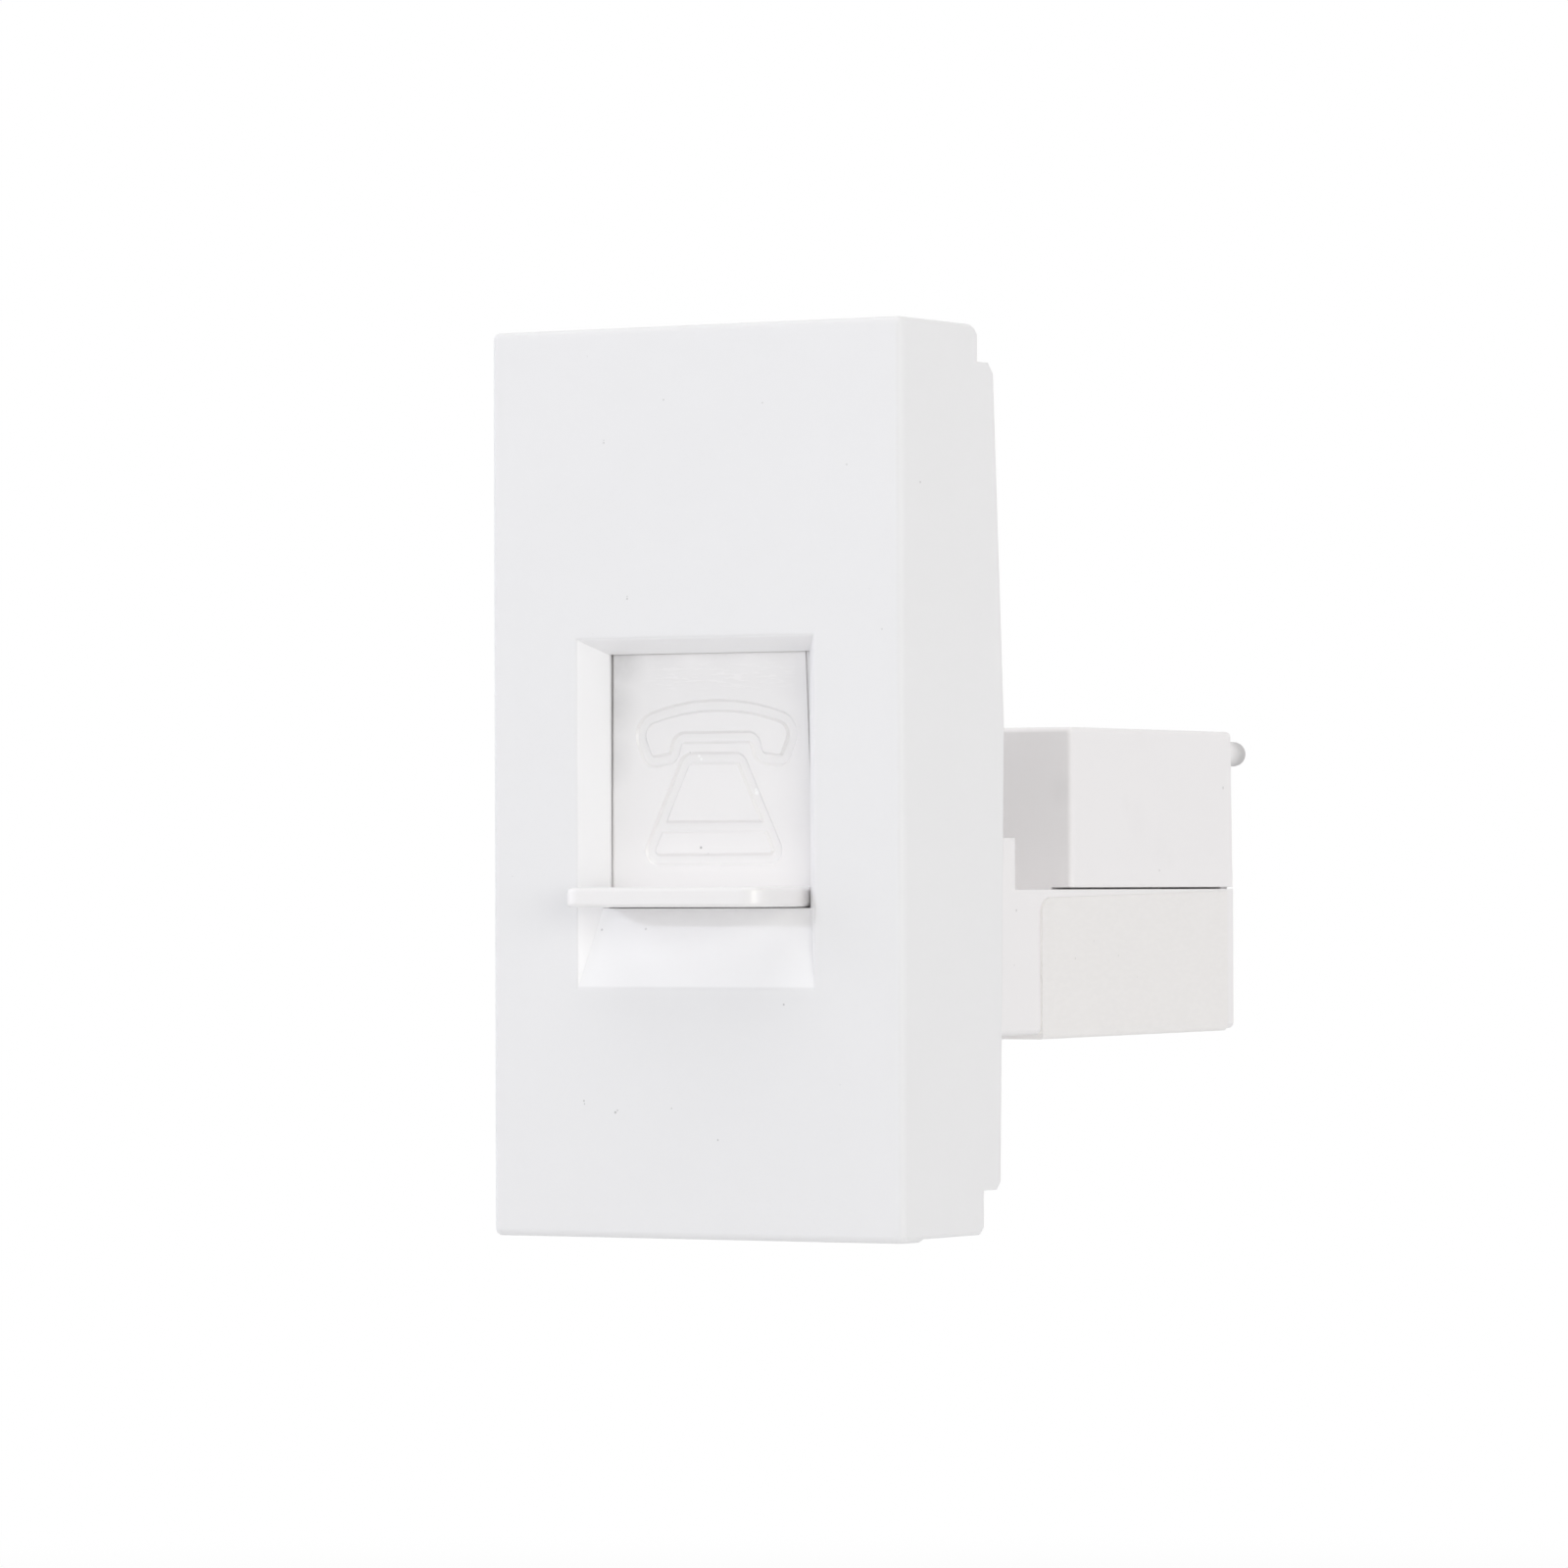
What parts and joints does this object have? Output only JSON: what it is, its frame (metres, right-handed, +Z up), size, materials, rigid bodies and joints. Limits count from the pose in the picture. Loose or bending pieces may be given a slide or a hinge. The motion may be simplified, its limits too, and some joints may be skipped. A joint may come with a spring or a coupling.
{
  "type": "telephone wall socket",
  "caption": "Slim upright wall insert with a bevelled window, a sliding dust shutter with a finger ledge, and a plug-in telephone jack with a boxed cable terminal behind.",
  "frame": {"origin": "centre of the plate's front face", "axes": "+X to the right seen from the front, +Y back into the wall, +Z up"},
  "size_m": [0.0236, 0.0494, 0.045],
  "materials": {
    "plate_plastic": "satin",
    "shutter_plastic": "smooth",
    "carrier_plastic": "satin",
    "jack_plastic": "satin",
    "insert_plastic": "satin",
    "label_paper": "matt",
    "spring_steel": "bright",
    "contact_metal": "bright",
    "blade_metal": "bright",
    "board_laminate": "satin"
  },
  "bodies": {
    "module": {"front_plate": "plate_plastic", "shutter_spring_left": "spring_steel", "shutter_spring_right": "spring_steel", "jack_carrier": "carrier_plastic", "jack_housing": "jack_plastic", "contact_insert": "insert_plastic", "contact_wire_1": "contact_metal", "contact_wire_2": "contact_metal", "contact_wire_3": "contact_metal", "contact_wire_4": "contact_metal", "circuit_board": "board_laminate", "idc_block": "jack_plastic", "idc_blade_1": "blade_metal", "idc_blade_2": "blade_metal", "idc_blade_3": "blade_metal", "idc_blade_4": "blade_metal", "terminal_cap": "jack_plastic", "wiring_label": "label_paper"},
    "shutter": {"shutter": "shutter_plastic"}
  },
  "joints": [
    {"name": "shutter_slide", "type": "slide", "parent": "module", "child": "shutter", "axis": [0, 0, 1], "range_m": [0, 0.0112], "stiffness_N_per_m": 200, "springref_m": -0.002, "deforming": ["shutter_spring_left", "shutter_spring_right"]}
  ]
}
